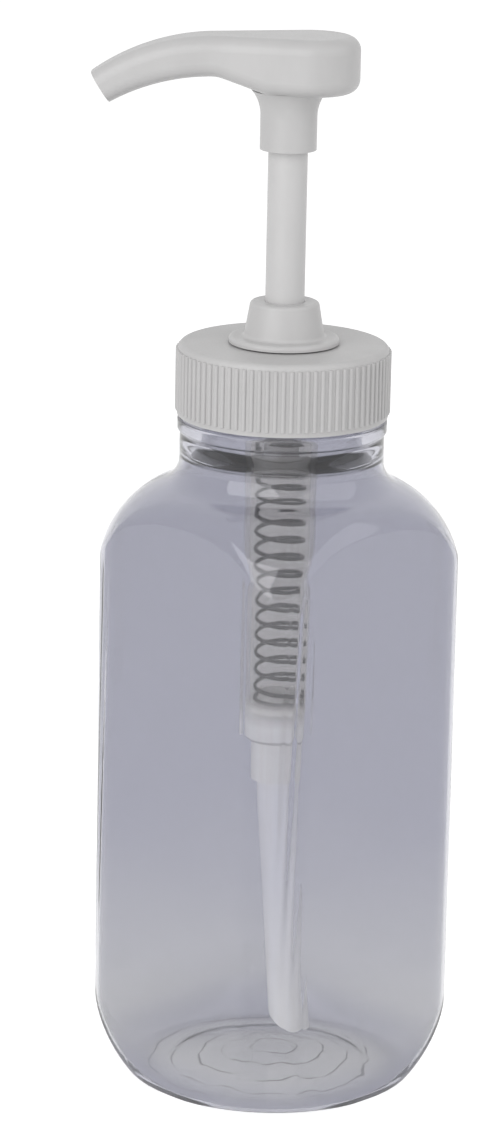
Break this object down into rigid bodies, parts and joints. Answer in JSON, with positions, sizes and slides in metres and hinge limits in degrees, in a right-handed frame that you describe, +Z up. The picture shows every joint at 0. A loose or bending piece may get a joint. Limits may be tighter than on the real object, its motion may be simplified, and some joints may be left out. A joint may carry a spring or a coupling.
{
  "type": "soap_pump_dispenser",
  "caption": "Clear bottle, square with rounded corners, with a screw-on lotion pump: pressing the sprung head draws liquid up a dip tube and out of its drooping spout.",
  "frame": {"origin": "on the bottle's axis, in the plane that it stands on", "axes": "+Z up along the bottle, -X the way the spout points at rest, bottle corners on X and Y"},
  "size_m": [0.0746, 0.0718, 0.2133],
  "materials": {
    "clear_plastic": "clear, slightly blue-grey, glossy",
    "white_plastic": "satin white",
    "milky_plastic": "translucent, smooth",
    "piston_plastic": "matte white",
    "gasket_foam": "matte",
    "seal_rubber": "matte",
    "steel": "drawn wire"
  },
  "bodies": {
    "bottle": {"bottle": "clear_plastic"},
    "pump_body": {"housing": "milky_plastic", "chaplet": "white_plastic", "stem_seal": "seal_rubber", "gasket": "gasket_foam", "ball_cage": "piston_plastic", "spring": "steel", "dip_tube": "milky_plastic"},
    "closure": {"closure": "white_plastic"},
    "plunger": {"piston": "piston_plastic"},
    "head": {"actuator": "white_plastic", "stem": "white_plastic", "piston_rod": "piston_plastic"},
    "inlet_valve": {"inlet_ball": "steel"},
    "outlet_valve": {"outlet_ball": "steel"}
  },
  "joints": [
    {"name": "pump_lift", "type": "slide", "parent": "bottle", "child": "pump_body", "axis": [0, 0, 1], "range_m": [0, 0.0053]},
    {"name": "closure_turn", "type": "hinge", "parent": "pump_body", "child": "closure", "pos_m": [0, 0, 0.145], "axis": [0, 0, 1], "range_deg": [0, 450]},
    {"name": "press", "type": "slide", "parent": "pump_body", "child": "plunger", "axis": [0, 0, -1], "range_m": [0, 0.03], "stiffness_N_per_m": 200, "springref_m": -0.02, "deforming": ["spring"]},
    {"name": "head_swivel", "type": "hinge", "parent": "plunger", "child": "head", "pos_m": [0, 0, 0.2], "axis": [0, 0, 1], "continuous": true},
    {"name": "inlet_ball_lift", "type": "slide", "parent": "pump_body", "child": "inlet_valve", "axis": [0, 0, 1], "range_m": [0, 0.0014]},
    {"name": "outlet_ball_lift", "type": "slide", "parent": "head", "child": "outlet_valve", "axis": [0, 0, 1], "range_m": [0, 0.0015]}
  ],
  "couplings": [
    {"joint": "pump_lift", "follows": "closure_turn", "m_per_rad": 0.0006737}
  ]
}
